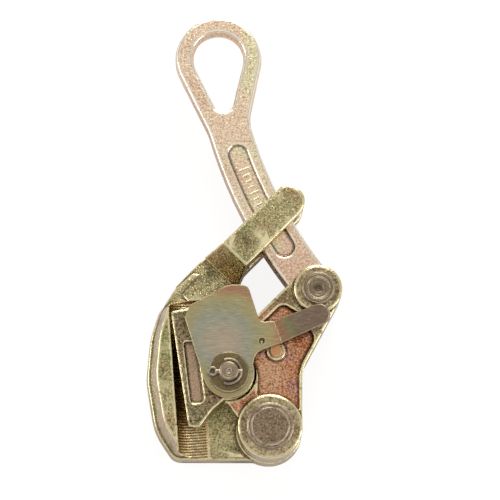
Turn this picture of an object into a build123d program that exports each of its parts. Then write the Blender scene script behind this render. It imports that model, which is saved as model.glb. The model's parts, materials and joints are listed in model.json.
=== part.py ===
from build123d import *
import os
from math import atan2, cos, degrees, hypot, radians, sin, tan

# Wire rope puller (come-along wire grip). Millimetres.
# It lies on its back on z = 0, with the front face towards +Z. The origin is on the main
# pivot's axis, +Y runs towards the pulling eye and +X away from the rope groove.

# ---- driving dimensions -------------------------------------------------------------
MAIN_PIVOT = (0.0, 0.0)
JAW_PIVOT = (-26.5, 34.2)
HANDLE_PIVOT = (30.9, 88.9)
EYE_CENTRE = (-33.3, 243.5)
LOOP_ORIGIN = (-22.9, 110.8)        # middle of the guide loop's lower end
LOOP_ANGLE = 46.0                   # direction of the guide loop's bars

FLOOR_Z = 14.5                      # front surface of the base plate
FLANGE_Z = 38.5                     # front surface of the fixed jaw
FLANGE_DRAFT = 10.0
PLATE_DRAFT = 4.0
FIXED_BOSS_RADIUS = 21.8
FIXED_BOSS_Z = 15.6
BACK_RECESS_RADIUS = 15.2             # sunk seat of the main pin's washer, in the back
BACK_RECESS_DEPTH = 3.2

ROPE_AXIS_Z = 26.0
ROPE_AXIS_X = -46.4                 # the rope's axis at y = 0
ROPE_TILT = 4.3                     # the rope leans towards -X as it goes up
GROOVE_RADIUS = 12.5
TOOTH_DEPTH = 0.9
TOOTH_PITCH = 1.8
GROOVE_LOW_Y = -25.2
GROOVE_HIGH_Y = 84.6

ARM_BACK_Z = 5.0
ARM_FRONT_Z = 21.0
ARM_EDGE_Z = 12.5                   # the arm slopes down to this at its outer edge
ARM_EDGE_N = 15.6
ARM_RIDGE_N = -10.0
LOOP_FRONT_Z = 44.0
LOOP_SLOT_LOW_Z = 17.0
LOOP_SLOT_HIGH_Z = 35.0
LOOP_SLOT_START = 1.5
LOOP_SLOT_END = 56.0

ROCKER_BACK_Z = 17.0
ROCKER_RIM_Z = 39.4
ROCKER_POCKET_Z = 36.0
ROCKER_BOSS_RADIUS = 20.8
ROCKER_BOSS_Z = 42.0
HANDLE_BOSS_RADIUS = 15.75
HANDLE_BOSS_Z = 43.2
REAR_CHEEK_Z = 8.0
FORK_LOW_Z = 17.4
FORK_HIGH_Z = 34.6
TONGUE_RADIUS = 14.5
TONGUE_LOW_Z = 20.0
TONGUE_HIGH_Z = 32.0

HANDLE_LOW_Z = 18.0
HANDLE_HIGH_Z = 34.0
HANDLE_HALF_WIDTH = 14.25
HANDLE_END_RADIUS = 14.25
LEFT_NECK = 122.5
RIGHT_NECK = 124.5
HANDLE_BEND_CENTRE = (257.7, 277.9)
HANDLE_DRAFT = 1.2
HANDLE_DRAFT_DEPTH = 7.2
RECESS_HALF_WIDTH = 6.5
RECESS_START = 36.0                   # along the bar's centreline, from the handle pin
RECESS_END = 104.0
RECESS_DEPTH = 1.5
EYE_RADIUS = 28.4
EYE_HOLE_RADIUS = 16.2
EYE_NECK_CENTRE = (-30.0, 215.3)
EYE_NECK_RADIUS = 6.6
EYE_HOLE_DRAFT = -9.0

JAW_BACK_Z = 15.5
JAW_FRONT_Z = 38.0
JAW_HUB_RADIUS = 17.0
JAW_SLOT_LOW_Z = 19.6
JAW_SLOT_HIGH_Z = 32.4
JAW_POCKET_DEPTH = 2.6
JAW_SEAT_GAP = 0.7                    # round the jaw's hub, in the rocker
JAW_RELIEF_RADIUS = 8.9               # sunk round the jaw pin, in the jaw's back
JAW_RELIEF_Z = 17.6
JAW_EDGE_TOP = (-63.9, 74.3)
JAW_EDGE_LOW = (-52.7, 1.6)

MAIN_PIN_RADIUS = 10.0
MAIN_HEAD_RADIUS = 15.0
HANDLE_PIN_RADIUS = 8.0
HANDLE_HEAD_RADIUS = 10.7
JAW_PIN_RADIUS = 6.0
RUNNING_CLEARANCE = 0.06
PIN_HEAD_HEIGHT = 2.0
WASHER_HOLE_RADIUS = 6.1
WASHER_THICKNESS = 2.6

GATE_LOW_Z = 40.0
GATE_HIGH_Z = 43.0
GATE_LOBE_RADIUS = 16.4
GATE_SIDE_ANGLE = 17.6                # the plate's left side leans and meets the lobe smoothly
GATE_BEND_ANGLE = 20.0
TAB_WIDTH = 15.0
TAB_LENGTH = 36.0
TAB_DIRECTION = 20.7
GATE_WASHER_RADIUS = 13.0
SPLIT_PIN_Z = 48.2
SPLIT_PIN_RADIUS = 1.5
BALL_CENTRE = (-5.3, 54.7)
BALL_RADIUS = 2.5
DETENT_HOLE_RADIUS = 2.1              # in the gate plate, over the ball
SPRING_SEAT_Z = 24.4
SPRING_RADIUS = 1.9
SPRING_WIRE_RADIUS = 0.35
SPRING_TURNS = 5
STUD_CENTRE = (3.9, 49.0)
STUD_RADIUS = 4.3

STACK_GAP = 0.1                       # between parts stacked on one pin
THROUGH = 60.0                        # a height above every part, for cuts


# ---- helpers ------------------------------------------------------------------------
def rounded_face(corners):
    """A flat closed outline at z = 0. A corner is (x, y, radius of its rounding)."""
    edges = []
    ends = []
    count = len(corners)
    turn = sum(corners[i - 1][0] * corners[i][1] - corners[i][0] * corners[i - 1][1] for i in range(count))
    if turn < 0:
        corners = corners[::-1]
    for index, (x, y, radius) in enumerate(corners):
        here = Vector(x, y)
        back = (Vector(*corners[index - 1][:2]) - here).normalized()
        ahead = (Vector(*corners[(index + 1) % count][:2]) - here).normalized()
        if radius == 0:
            ends.append((here, here))
            continue
        half_angle = radians(back.get_angle(ahead)) / 2
        reach = radius / tan(half_angle)
        bisector = (back + ahead).normalized()
        middle = here + bisector * (radius / sin(half_angle) - radius)
        start = here + back * reach
        finish = here + ahead * reach
        edges.append(ThreePointArc(start, middle, finish))
        ends.append((start, finish))
    for index in range(count):
        start = ends[index - 1][1]
        finish = ends[index][0]
        if (finish - start).length > 0.001:
            edges.append(Line(start, finish))
    return make_face(edges)


def prism(face, low_z, high_z, draft=0.0):
    return Pos(0, 0, low_z) * extrude(face, high_z - low_z, taper=draft)


def disc(centre, radius, low_z, high_z, draft=0.0):
    return Pos(centre[0], centre[1], 0) * prism(Circle(radius), low_z, high_z, draft)


def rounded_disc(centre, radius, low_z, high_z, edge):
    """A disc whose front edge is rounded."""
    plain = disc(centre, radius, low_z, high_z)
    return fillet(plain.faces().sort_by(Axis.Z)[-1].edges(), edge)


def soften_front(solid, z, radius):
    """Rounds the edges that lie in the plane at height z."""
    edges = solid.edges().filter_by_position(Axis.Z, z - 0.01, z + 0.01)
    for attempt in (radius, radius * 0.6, radius * 0.3):
        try:
            softened = fillet(edges, attempt)
        except Exception:
            continue
        if softened.is_valid:
            return softened
    print("left sharp at z =", z)
    return solid


def turned(centre, steps):
    """A round piece from (radius, z) corners, turned about the vertical through centre."""
    half = Polyline(*[(radius, 0, z) for radius, z in steps], close=True)
    return Pos(centre[0], centre[1], 0) * revolve(make_face(half), Axis.Z)


def toothed_bar(radius, low, high):
    """A bar along Y with V-shaped ridges round it, which cuts the gripping teeth."""
    count = round((high - low) / TOOTH_PITCH)
    pitch = (high - low) / count
    outline = [(0, low)]
    for tooth in range(count):
        outline.append((radius, low + tooth * pitch))
        outline.append((radius + TOOTH_DEPTH, low + (tooth + 0.5) * pitch))
    outline.append((radius, high))
    outline.append((0, high))
    return revolve(make_face(Polyline(*outline, close=True)), Axis.Y)


def rope_place():
    """The frame whose Y axis is the rope's axis."""
    return Pos(ROPE_AXIS_X, 0, ROPE_AXIS_Z) * Rot(0, 0, ROPE_TILT)


def loop_place():
    """The frame of the guide loop: X along its bars, Y across them, outwards."""
    return Pos(*LOOP_ORIGIN, 0) * Rot(0, 0, LOOP_ANGLE)


# ---- the forged body ----------------------------------------------------------------
FLANGE_SIDE = [(-61.5, -19.5, 9), (-74.0, -1.0, 40), (-79.8, 33.0, 50), (-77.2, 62.0, 45)]


def base_plate():
    outline = FLANGE_SIDE + [
        (-70.5, 80.0, 40),
        (-62.7, 92.6, 12),
        (-50.0, 104.5, 3),
        (-22.0, 100.0, 3),
        (-18.0, 70.0, 30),
        (-3.0, 38.0, 20),
        (19.0, 14.0, 4),
        (0.0, -19.5, 0),
    ]
    plate = prism(rounded_face(outline), 0, FLOOR_Z, PLATE_DRAFT)
    return plate + disc(MAIN_PIVOT, FIXED_BOSS_RADIUS, 0, FIXED_BOSS_Z, 2.0)


def flange():
    """The fixed jaw: a drafted wall with a quarter-round inner corner."""
    outline = FLANGE_SIDE + [(-71.5, 80.5, 14), (-63.0, 88.0, 9), (-45.0, 80.0, 0), (-44.0, -19.5, 0)]
    wall = prism(rounded_face(outline), 0, FLANGE_Z, FLANGE_DRAFT)
    wall = soften_front(wall, FLANGE_Z, 1.2)
    drop = FLOOR_Z - ROPE_AXIS_Z
    corner = GROOVE_RADIUS * cos(radians(45))
    room = Polyline((0, drop), (60, drop), (60, 20), (-GROOVE_RADIUS - 0.4, 20), (-GROOVE_RADIUS, 0))
    bend = ThreePointArc((-GROOVE_RADIUS, 0), (-corner, -corner), (0, -GROOVE_RADIUS))
    step = Line((0, -GROOVE_RADIUS), (0, drop))
    profile = make_face(room.edges() + [bend, step])
    channel = extrude(Plane.XZ * profile, 130, both=True)
    return wall - rope_place() * channel


def arm_and_loop():
    """The arm and the guide loop, from a plan outline and a side profile."""
    plan = rounded_face([
        (-64.5, 91.0, 3),
        (-44.9, 111.2, 6),
        (-30.4, 118.6, 6),
        (9.9, 158.6, 8),
        (25.6, 150.5, 9),
        (20.0, 139.0, 6),
        (-15.6, 102.8, 2),
        (-19.2, 95.3, 6),
        (-19.0, 79.5, 3),
        (-40.0, 78.0, 10),
        (-50.0, 81.3, 8),
        (-57.5, 90.5, 6),
    ])
    side = make_face(Polyline(
        (-60, ARM_BACK_Z),
        (80, ARM_BACK_Z),
        (80, LOOP_FRONT_Z),
        (0.3, LOOP_FRONT_Z),
        (-12.0, ARM_FRONT_Z),
        (-60, ARM_FRONT_Z),
        close=True,
    ))
    bar = extrude(Plane.XZ * side, 60, both=True)
    slot_length = LOOP_SLOT_END - LOOP_SLOT_START
    slot_middle = (LOOP_SLOT_START + LOOP_SLOT_END) / 2
    slot_z = (LOOP_SLOT_LOW_Z + LOOP_SLOT_HIGH_Z) / 2
    slot = Pos(slot_middle, 0, slot_z) * Box(slot_length, 90, LOOP_SLOT_HIGH_Z - LOOP_SLOT_LOW_Z)
    slot = fillet(slot.edges().filter_by(Axis.Y), 3)
    slope = make_face(Polyline(
        (ARM_EDGE_N, ARM_EDGE_Z),
        (ARM_EDGE_N + 20, ARM_EDGE_Z),
        (ARM_EDGE_N + 20, 60),
        (ARM_RIDGE_N, 60),
        (ARM_RIDGE_N, ARM_FRONT_Z),
        close=True,
    ))
    slope_cut = Pos(-12.0, 0, 0) * extrude(Plane.YZ * slope, -60)
    lower_front = Pos(-36, 0, ARM_FRONT_Z + 25) * Box(48, 90, 50)
    solid = prism(plan, ARM_BACK_Z, LOOP_FRONT_Z) & (loop_place() * bar)
    solid -= loop_place() * slot
    solid -= loop_place() * (slope_cut - lower_front)
    return soften_front(solid, LOOP_FRONT_Z, 1.6)


def body():
    solid = base_plate() + flange() + arm_and_loop()
    solid -= rope_place() * toothed_bar(GROOVE_RADIUS, GROOVE_LOW_Y, GROOVE_HIGH_Y)
    solid -= disc(MAIN_PIVOT, MAIN_PIN_RADIUS, -1, THROUGH)
    return solid - disc(MAIN_PIVOT, BACK_RECESS_RADIUS, -1, BACK_RECESS_DEPTH)


# ---- the rocker ---------------------------------------------------------------------
def handle_room():
    """The space that the pulling bar sweeps inside the rocker's fork."""
    room = disc(HANDLE_PIVOT, HANDLE_END_RADIUS + 1.2, FORK_LOW_Z, FORK_HIGH_Z)
    height = FORK_HIGH_Z - FORK_LOW_Z
    middle = (FORK_LOW_Z + FORK_HIGH_Z) / 2
    for angle in range(124, 177, 4):
        sweep = Pos(35, 0, middle) * Box(70, 2 * HANDLE_HALF_WIDTH + 1.6, height)
        room += Pos(*HANDLE_PIVOT, 0) * Rot(0, 0, angle) * sweep
    return room


def rocker():
    web = rounded_face([
        (20.7, 0.0, 0),
        (20.7, 37.0, 26),
        (45.2, 82.2, 0),
        (19.8, 100.0, 0),
        (-36.0, 44.2, 6),
        (-34.0, 24.0, 6),
        (-19.4, 16.5, 0),
        (-20.6, 4.0, 0),
        (0.0, -12.0, 0),
    ])
    solid = prism(web, ROCKER_BACK_Z, ROCKER_RIM_Z)
    jaw_seat = disc(JAW_PIVOT, JAW_HUB_RADIUS + JAW_SEAT_GAP, ROCKER_BACK_Z - 1, THROUGH)
    outside = Pos(JAW_PIVOT[0] - 32, JAW_PIVOT[1], 30) * Box(60, 60, 40)
    tongue = disc(JAW_PIVOT, TONGUE_RADIUS, TONGUE_LOW_Z, TONGUE_HIGH_Z)
    neck = prism(web, TONGUE_LOW_Z, TONGUE_HIGH_Z) & jaw_seat
    pocket = rounded_face([
        (18.4, 10.0, 3),
        (18.4, 38.0, 26),
        (28.4, 57.0, 6),
        (22.0, 70.5, 6),
        (8.0, 79.5, 5),
        (-14.0, 57.5, 4),
        (-7.0, 32.0, 8),
        (-8.5, 12.0, 3),
    ])
    ball_pad = disc(BALL_CENTRE, 5.2, ROCKER_POCKET_Z - 1, ROCKER_RIM_Z)
    stud_pad = disc(STUD_CENTRE, STUD_RADIUS + 2.0, ROCKER_POCKET_Z - 1, ROCKER_POCKET_Z + 1.6)
    solid -= prism(pocket, ROCKER_POCKET_Z, ROCKER_RIM_Z + 1, -8)
    solid += ball_pad + stud_pad
    solid -= jaw_seat + (outside - tongue)
    solid += tongue + neck
    front_lip = prism(rounded_face([
        (-20.0, -2.0, 0),
        (-20.0, 5.0, 8),
        (-28.5, 16.5, 0),
        (-12.0, 26.0, 0),
        (0.0, 10.0, 0),
    ]), JAW_FRONT_Z + 0.5, ROCKER_RIM_Z)
    solid += front_lip - disc(JAW_PIVOT, JAW_HUB_RADIUS + JAW_SEAT_GAP, JAW_FRONT_Z, THROUGH)
    rear_cheek = rounded_face([
        (20.7, 33.0, 4),
        (20.7, 37.0, 20),
        (45.2, 82.2, 0),
        (19.8, 100.0, 0),
        (3.0, 83.2, 5),
        (5.0, 56.0, 8),
        (13.0, 33.0, 4),
    ])
    solid += prism(rear_cheek, REAR_CHEEK_Z, ROCKER_BACK_Z + 3)
    solid += disc(HANDLE_PIVOT, HANDLE_BOSS_RADIUS, REAR_CHEEK_Z, HANDLE_BOSS_Z - 1)
    solid += disc(MAIN_PIVOT, ROCKER_BOSS_RADIUS, FIXED_BOSS_Z + 0.4, ROCKER_BOSS_Z - 1)
    solid -= handle_room()
    solid += rounded_disc(HANDLE_PIVOT, HANDLE_BOSS_RADIUS, FORK_HIGH_Z, HANDLE_BOSS_Z, 1.4)
    solid += rounded_disc(MAIN_PIVOT, ROCKER_BOSS_RADIUS, ROCKER_RIM_Z - 2, ROCKER_BOSS_Z, 1.4)
    solid -= disc(MAIN_PIVOT, MAIN_PIN_RADIUS + RUNNING_CLEARANCE, 0, THROUGH)
    solid -= disc(HANDLE_PIVOT, HANDLE_PIN_RADIUS, 0, THROUGH)
    solid -= disc(JAW_PIVOT, JAW_PIN_RADIUS, 0, THROUGH)
    solid -= disc(BALL_CENTRE, BALL_RADIUS + STACK_GAP, SPRING_SEAT_Z - 0.4, THROUGH)
    solid -= disc(STUD_CENTRE, STUD_RADIUS - 1.0, 26.0, THROUGH)
    return solid


# ---- the pulling bar ----------------------------------------------------------------
BEND_RADIUS = hypot(HANDLE_PIVOT[0] - HANDLE_BEND_CENTRE[0], HANDLE_PIVOT[1] - HANDLE_BEND_CENTRE[1])
BEND_START = atan2(HANDLE_PIVOT[1] - HANDLE_BEND_CENTRE[1], HANDLE_PIVOT[0] - HANDLE_BEND_CENTRE[0])


def bend_point(distance, across):
    """A point at a distance along the bar's curved centreline, and across it to the left."""
    angle = BEND_START - distance / BEND_RADIUS
    reach = BEND_RADIUS + across
    x = HANDLE_BEND_CENTRE[0] + reach * cos(angle)
    return Vector(x, HANDLE_BEND_CENTRE[1] + reach * sin(angle))


def bend_arc(start, finish, across):
    middle = bend_point((start + finish) / 2, across)
    return ThreePointArc(bend_point(start, across), middle, bend_point(finish, across))


def bend_slot(half_width, start, finish):
    """A round-ended slot that follows the bar's centreline."""
    edges = [bend_arc(start, finish, half_width), bend_arc(finish, start, -half_width)]
    past = half_width / BEND_RADIUS
    for end, side in ((start, -1), (finish, 1)):
        tip = bend_point(end + side * half_width, half_width * past / 2)
        edges.append(ThreePointArc(bend_point(end, half_width), tip, bend_point(end, -half_width)))
    return make_face(edges)


def handle_outline():
    eye = Vector(*EYE_CENTRE)
    left_touch = eye + Vector(-0.904, -0.427) * EYE_RADIUS
    right_touch = eye + Vector(0.972, -0.234) * EYE_RADIUS
    left_neck = bend_point(LEFT_NECK, HANDLE_HALF_WIDTH)
    right_neck = bend_point(RIGHT_NECK, -HANDLE_HALF_WIDTH)
    left_end = bend_point(0, HANDLE_HALF_WIDTH)
    right_end = bend_point(0, -HANDLE_HALF_WIDTH)
    outline = make_face([
        ThreePointArc(left_touch, eye + Vector(0, EYE_RADIUS), right_touch),
        Line(right_touch, right_neck),
        bend_arc(RIGHT_NECK, 0, -HANDLE_HALF_WIDTH),
        ThreePointArc(right_end, bend_point(-HANDLE_HALF_WIDTH, 0), left_end),
        bend_arc(0, LEFT_NECK, HANDLE_HALF_WIDTH),
        Line(left_neck, left_touch),
    ])
    for corner, radius in ((left_neck, 40), (right_neck, 22)):
        nearest = sorted(outline.vertices(), key=lambda v: (Vector(v) - corner).length)[0]
        outline = fillet(nearest, radius)
    return outline


def pull_handle():
    middle = (HANDLE_LOW_Z + HANDLE_HIGH_Z) / 2
    outline = handle_outline()
    front = prism(outline, middle, HANDLE_HIGH_Z)
    face = front.faces().sort_by(Axis.Z)[-1]
    front = chamfer(face.edges(), HANDLE_DRAFT, HANDLE_DRAFT_DEPTH, reference=face)
    solid = front + mirror(front, Plane.XY.offset(middle))
    hole = make_hull(
        (Pos(*EYE_CENTRE) * Circle(EYE_HOLE_RADIUS)).edges()
        + (Pos(*EYE_NECK_CENTRE) * Circle(EYE_NECK_RADIUS)).edges()
    )
    front_hole = prism(hole, middle, HANDLE_HIGH_Z, EYE_HOLE_DRAFT)
    solid -= front_hole + mirror(front_hole, Plane.XY.offset(middle))
    solid = soften_front(solid, HANDLE_HIGH_Z, 1.5)
    solid = soften_front(solid, HANDLE_LOW_Z, 1.5)
    recess = bend_slot(RECESS_HALF_WIDTH, RECESS_START, RECESS_END)
    solid -= prism(recess, HANDLE_HIGH_Z - RECESS_DEPTH, HANDLE_HIGH_Z + 1, -12)
    return solid - disc(HANDLE_PIVOT, HANDLE_PIN_RADIUS + RUNNING_CLEARANCE, 0, THROUGH)


# ---- the moving jaw -----------------------------------------------------------------
def jaw_tilt():
    run = JAW_EDGE_LOW[0] - JAW_EDGE_TOP[0]
    return degrees(atan2(run, JAW_EDGE_TOP[1] - JAW_EDGE_LOW[1]))


def jaw_place():
    """The frame whose Y axis runs up the moving jaw's gripping edge."""
    return Pos(*JAW_EDGE_LOW, 0) * Rot(0, 0, jaw_tilt())


def moving_jaw():
    outline = rounded_face([
        (*JAW_EDGE_TOP, 1.5),
        (-52.2, 0.0, 1.0),
        (-45.0, -0.4, 1.5),
        (-37.0, 10.5, 12),
        (-29.0, 17.2, 0),
        (-20.0, 34.0, 0),
        (-36.0, 48.5, 0),
        (-43.0, 60.0, 14),
        (-48.5, 77.6, 1.5),
    ])
    solid = prism(outline, JAW_BACK_Z, JAW_FRONT_Z)
    solid += disc(JAW_PIVOT, JAW_HUB_RADIUS, JAW_BACK_Z, JAW_FRONT_Z)
    web_room = Pos(-4.0, 59.0, 27) * Box(45, 50, 40)
    solid -= web_room - disc(JAW_PIVOT, JAW_HUB_RADIUS, 0, THROUGH)
    solid = soften_front(solid, JAW_FRONT_Z, 0.9)
    low_z = JAW_BACK_Z - 1
    high_z = ROPE_AXIS_Z + 1
    nose = make_face(Polyline((-12, low_z), (7.0, low_z), (-0.3, high_z), (-12, high_z), close=True))
    solid -= jaw_place() * extrude(Plane.XZ * nose, 110, both=True)
    bar = Pos(-7.5, 0, ROPE_AXIS_Z) * toothed_bar(GROOVE_RADIUS - 0.5, -12, 84)
    solid -= jaw_place() * bar
    relief = Pos(0, 83.5, JAW_BACK_Z) * Box(60, 40, 13.5)
    solid -= jaw_place() * relief
    pocket = rounded_face([(-55.2, 54.5, 1.5), (-50.4, 15.0, 2.5), (-42.2, 15.8, 3), (-47.5, 54.5, 1.5)])
    solid -= prism(pocket, JAW_FRONT_Z - JAW_POCKET_DEPTH, JAW_FRONT_Z + 1, -6)
    solid -= disc(JAW_PIVOT, JAW_HUB_RADIUS + 0.5, JAW_SLOT_LOW_Z, JAW_SLOT_HIGH_Z)
    solid -= disc(JAW_PIVOT, JAW_PIN_RADIUS + RUNNING_CLEARANCE, 0, THROUGH)
    return solid - disc(JAW_PIVOT, JAW_RELIEF_RADIUS, 0, JAW_RELIEF_Z)


# ---- pins, washers and stud ---------------------------------------------------------
def main_pivot_pin():
    """The rivet that joins body and rocker: a flat head in front, peened over behind."""
    head = MAIN_HEAD_RADIUS
    low = ROCKER_BOSS_Z + STACK_GAP
    top = ROCKER_BOSS_Z + PIN_HEAD_HEIGHT
    return turned(MAIN_PIVOT, [
        (0, 0.0), (MAIN_PIN_RADIUS + 1.6, 0.0), (MAIN_PIN_RADIUS, 1.6), (MAIN_PIN_RADIUS, low),
        (head, low), (head, top - 0.7), (head - 1.0, top), (head - 2.6, top), (head - 3.0, top - 0.3),
        (head - 3.4, top), (0, top + 0.2),
    ])


def main_pin_back_washer():
    inner = MAIN_PIN_RADIUS
    outer = BACK_RECESS_RADIUS - 0.6
    high = BACK_RECESS_DEPTH
    return turned(MAIN_PIVOT, [(inner, 1.6), (inner + 1.3, 0.3), (outer, 0.3), (outer, high), (inner, high)])


def handle_pin():
    top = HANDLE_BOSS_Z
    head = HANDLE_HEAD_RADIUS
    return turned(HANDLE_PIVOT, [
        (0, REAR_CHEEK_Z - 3.2), (9.6, REAR_CHEEK_Z - 3.2), (HANDLE_PIN_RADIUS, REAR_CHEEK_Z - 1.8),
        (HANDLE_PIN_RADIUS, top), (head, top), (head, top + 2.4), (head - 0.9, top + 3.2),
        (7.4, top + 3.3), (7.0, top + 2.9), (6.6, top + 3.3), (3.4, top + 3.0),
        (2.8, top + 2.4), (0, top + 2.2),
    ])


def handle_pin_back_washer():
    low = REAR_CHEEK_Z - 2.0
    inner = HANDLE_PIN_RADIUS
    outer = inner + 5.0
    return turned(HANDLE_PIVOT, [
        (inner, low + 0.2), (inner + 0.3, low), (outer, low), (outer, REAR_CHEEK_Z), (inner, REAR_CHEEK_Z),
    ])


def jaw_pin():
    pin = turned(JAW_PIVOT, [
        (0, 15.7), (8.6, 15.7), (8.6, 17.3), (JAW_PIN_RADIUS, 17.3), (JAW_PIN_RADIUS, 50.6),
        (JAW_PIN_RADIUS - 1.0, 51.6), (1.5, 51.6), (0.0, 50.5),
    ])
    cross = Pos(*JAW_PIVOT, SPLIT_PIN_Z) * Rot(0, 90, 0) * Cylinder(SPLIT_PIN_RADIUS + 0.1, 30)
    return pin - cross


def flat_washer(low_z, high_z):
    """A washer on the jaw pin."""
    corner = 0.4
    outer = GATE_WASHER_RADIUS
    return turned(JAW_PIVOT, [
        (WASHER_HOLE_RADIUS, low_z), (outer, low_z), (outer, high_z - corner), (outer - corner, high_z),
        (WASHER_HOLE_RADIUS, high_z),
    ])


def gate_stop_stud():
    return turned(STUD_CENTRE, [
        (0, 26.5), (STUD_RADIUS - 1.0, 26.5), (STUD_RADIUS - 1.0, ROCKER_POCKET_Z + 1.6),
        (STUD_RADIUS, ROCKER_POCKET_Z + 1.6), (STUD_RADIUS, ROCKER_RIM_Z - 0.6),
        (STUD_RADIUS - 0.8, ROCKER_RIM_Z + 0.2), (0, ROCKER_RIM_Z + 0.2),
    ])


def split_pin():
    """A split pin through the jaw pin: an eye on the left, two legs bent round the pin."""
    wrap = JAW_PIN_RADIUS + SPLIT_PIN_RADIUS + 0.25
    x0, y0 = JAW_PIVOT
    pieces = Part()
    for side in (1, -1):
        leg = make_face([
            Line((0, 0), (0, SPLIT_PIN_RADIUS)),
            ThreePointArc((0, SPLIT_PIN_RADIUS), (SPLIT_PIN_RADIUS * side, 0), (0, -SPLIT_PIN_RADIUS)),
            Line((0, -SPLIT_PIN_RADIUS), (0, 0)),
        ])
        start = (x0 - wrap - 0.5, y0, SPLIT_PIN_Z)
        corner = (x0 + wrap, y0, SPLIT_PIN_Z)
        straight = Line(start, (corner[0] + 0.6, y0, SPLIT_PIN_Z))
        pieces += sweep(Plane(origin=start, x_dir=(0, 1, 0), z_dir=(1, 0, 0)) * leg, straight)
        turn = radians(112)
        hook_start = (x0 + wrap, y0 + 0.1 * side, SPLIT_PIN_Z)
        half_way = (x0 + wrap * cos(turn / 2), y0 + side * wrap * sin(turn / 2), SPLIT_PIN_Z)
        finish = (x0 + wrap * cos(turn), y0 + side * wrap * sin(turn), SPLIT_PIN_Z)
        hook = ThreePointArc(hook_start, half_way, finish)
        section = Plane(origin=hook_start, x_dir=(1, 0, 0), z_dir=(0, side, 0)) * Circle(1.05)
        pieces += sweep(section, hook)
    eye_centre = Pos(x0 - wrap - 2.7, y0, SPLIT_PIN_Z)
    return pieces + eye_centre * Torus(2.4, 0.85)


# ---- the gate plate -----------------------------------------------------------------
def gate_plate():
    """The sheet gate that shuts the groove, with its thumb tab bent up to the right."""
    lean = radians(GATE_SIDE_ANGLE)
    side_x = JAW_PIVOT[0] - GATE_LOBE_RADIUS * cos(lean)
    side_y = JAW_PIVOT[1] - GATE_LOBE_RADIUS * sin(lean)
    flat = rounded_face([
        (side_x, side_y, 0),
        (-54.8, 69.5, 4),
        (-51.5, 77.8, 3),
        (-26.5, 91.3, 12),
        (-14.4, 91.0, 5),
        (-6.6, 66.9, 4),
        (2.3, 67.6, 0),
        (7.6, 53.6, 0),
        (-9.4, 47.2, 8),
        (-12.6, 32.0, 0),
        (-26.5, 20.0, 0),
    ])
    plate = prism(flat, GATE_LOW_Z, GATE_HIGH_Z) + disc(JAW_PIVOT, GATE_LOBE_RADIUS, GATE_LOW_Z, GATE_HIGH_Z)
    half = TAB_WIDTH / 2
    tab_face = rounded_face([
        (-0.4, -half, 0),
        (TAB_LENGTH, -half + 1.0, 6.4),
        (TAB_LENGTH, half - 1.0, 6.4),
        (-0.4, half, 0),
    ])
    tab = prism(tab_face, GATE_LOW_Z - GATE_HIGH_Z, 0.0)
    tab_place = Pos(4.95, 60.6, GATE_HIGH_Z) * Rot(0, 0, TAB_DIRECTION) * Rot(0, -GATE_BEND_ANGLE, 0)
    plate = soften_front(plate, GATE_HIGH_Z, 0.5) + tab_place * soften_front(tab, 0.0, 0.5)
    plate -= disc(BALL_CENTRE, DETENT_HOLE_RADIUS, 0, THROUGH)
    return plate - disc(JAW_PIVOT, JAW_PIN_RADIUS + RUNNING_CLEARANCE, 0, THROUGH)


# ---- the detent ---------------------------------------------------------------------
def detent_ball():
    return Pos(*BALL_CENTRE, GATE_LOW_Z - STACK_GAP - BALL_RADIUS) * Sphere(BALL_RADIUS)


def detent_spring():
    ball_low_z = GATE_LOW_Z - STACK_GAP - 2 * BALL_RADIUS
    height = ball_low_z - SPRING_SEAT_Z - 2 * SPRING_WIRE_RADIUS - STACK_GAP
    coil = Helix(pitch=height / SPRING_TURNS, height=height, radius=SPRING_RADIUS)
    section = Plane(origin=coil @ 0, z_dir=coil % 0) * Circle(SPRING_WIRE_RADIUS)
    return Pos(*BALL_CENTRE, SPRING_SEAT_Z) * sweep(section, coil, is_frenet=True)


def write_parts():
    os.makedirs("parts", exist_ok=True)
    washer_low_z = GATE_HIGH_Z + STACK_GAP
    pieces = {
        "body": body(),
        "main_pivot_pin": main_pivot_pin(),
        "main_pin_back_washer": main_pin_back_washer(),
        "rocker": rocker(),
        "pull_handle": pull_handle(),
        "handle_pin": handle_pin(),
        "handle_pin_back_washer": handle_pin_back_washer(),
        "moving_jaw": moving_jaw(),
        "jaw_pin": jaw_pin(),
        "gate_spacer_washer": flat_washer(JAW_FRONT_Z + STACK_GAP, GATE_LOW_Z - STACK_GAP),
        "gate_plate": gate_plate(),
        "jaw_pin_washer": flat_washer(washer_low_z, washer_low_z + WASHER_THICKNESS),
        "split_pin": split_pin(),
        "gate_stop_stud": gate_stop_stud(),
        "detent_ball": detent_ball(),
        "detent_spring": detent_spring(),
    }
    for name, shape in pieces.items():
        export_step(shape, f"parts/{name}.step")


write_parts()
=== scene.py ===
# %% [markdown]
# # A wire rope puller, dressed for its picture
# The imported CAD model gives every part its size, its place and its joints. This lesson
# loads it as a fixed frame and adds what CAD leaves out: soft forged surfaces, the shifting
# tints of yellow zinc plating, turned pin heads, raised marks, and pale edges that are partly
# rubbed plating and partly a painted highlight.

# %% Load the frame
import math

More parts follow.
